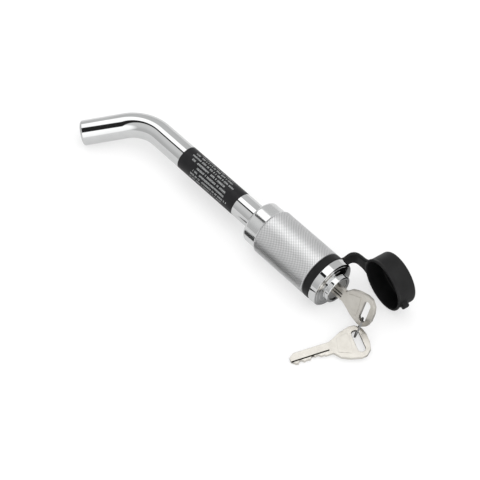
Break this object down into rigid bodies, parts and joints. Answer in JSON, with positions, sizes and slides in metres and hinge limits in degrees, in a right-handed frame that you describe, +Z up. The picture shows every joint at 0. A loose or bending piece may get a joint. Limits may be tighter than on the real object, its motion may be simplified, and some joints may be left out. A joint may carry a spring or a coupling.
{
  "type": "hitch pin lock",
  "caption": "Bent receiver hitch pin with a keyed, knurled locking head, a tethered rubber dust cap and keys on a split ring.",
  "frame": {"origin": "on the pin's axis at the flat front face of the head's collar, where the pin enters", "axes": "+X along the pin towards the keyhole, +Z up; the part rests on the plane z = -15.2 mm"},
  "size_m": [0.2395, 0.0832, 0.0334],
  "materials": {
    "chrome_steel": "polished chrome plate",
    "label_film": "satin black printed film",
    "black_rubber": "moulded matt rubber",
    "satin_steel": "satin chrome over a diamond knurl",
    "machined_steel": "turned, bare",
    "bearing_steel": "ground and hardened",
    "plug_metal": "nickel plated",
    "nickel_key": "tumbled nickel plate",
    "ring_steel": "bright spring steel",
    "wafer_brass": "stamped brass"
  },
  "bodies": {
    "pin": {"pin_shaft": "chrome_steel", "pin_label": "label_film"},
    "seal": {"mouth_seal": "black_rubber"},
    "head": {"head_barrel": "satin_steel", "ball_cage": "machined_steel", "cage_dowel": "machined_steel", "lock_housing": "chrome_steel", "anti_drill_pins": "bearing_steel", "housing_snap_ring": "machined_steel", "housing_seal": "black_rubber", "tether_ring": "black_rubber"},
    "ball_1": {"locking_ball_1": "bearing_steel"},
    "ball_2": {"locking_ball_2": "bearing_steel"},
    "plug": {"lock_plug": "plug_metal", "plug_clip": "machined_steel", "plug_seal": "black_rubber", "drive_tail": "machined_steel", "tail_screw": "machined_steel", "cam_cup": "machined_steel", "wafer_springs": "machined_steel", "wafer_1": "wafer_brass", "wafer_2": "wafer_brass", "wafer_3": "wafer_brass", "wafer_4": "wafer_brass", "wafer_5": "wafer_brass"},
    "cap": {"dust_cap": "black_rubber", "cap_strap": "black_rubber"},
    "key": {"lock_key": "nickel_key"},
    "ring": {"key_ring": "ring_steel"},
    "spare": {"spare_key": "nickel_key"}
  },
  "joints": [
    {"name": "head_pull_off", "type": "slide", "parent": "pin", "child": "seal", "axis": [1, 0, 0], "range_m": [0, 0.12]},
    {"name": "head_swivel", "type": "hinge", "parent": "seal", "child": "head", "pos_m": [0, 0, 0], "axis": [1, 0, 0], "continuous": true},
    {"name": "plug_turn", "type": "hinge", "parent": "head", "child": "plug", "pos_m": [0, 0, 0], "axis": [-1, 0, 0], "range_deg": [0, 90]},
    {"name": "ball_1_slide", "type": "slide", "parent": "head", "child": "ball_1", "axis": [0, -1, 0], "range_m": [0, 0.0019]},
    {"name": "ball_2_slide", "type": "slide", "parent": "head", "child": "ball_2", "axis": [0, 1, 0], "range_m": [0, 0.0019]},
    {"name": "key_withdraw", "type": "slide", "parent": "plug", "child": "key", "axis": [1, 0, 0], "range_m": [0, 0.03]},
    {"name": "ring_swing", "type": "hinge", "parent": "key", "child": "ring", "pos_m": [0.0901, -0.00294, -0.00808], "axis": [1, 0, 0], "range_deg": [-8, 6]},
    {"name": "spare_swing", "type": "hinge", "parent": "ring", "child": "spare", "pos_m": [0.09012, -0.00516, -0.0085], "axis": [0.8661, 0.4401, -0.237], "range_deg": [-80, 0]},
    {"name": "cap_swing", "type": "hinge", "parent": "head", "child": "cap", "pos_m": [0.0584, 0.025, 0], "axis": [0, 0, 1], "range_deg": [-15, 80], "deforming": ["cap_strap"]}
  ],
  "couplings": [
    {"joint": "ball_1_slide", "follows": "plug_turn", "m_per_rad": 0.001209},
    {"joint": "ball_2_slide", "follows": "plug_turn", "m_per_rad": 0.001209}
  ]
}
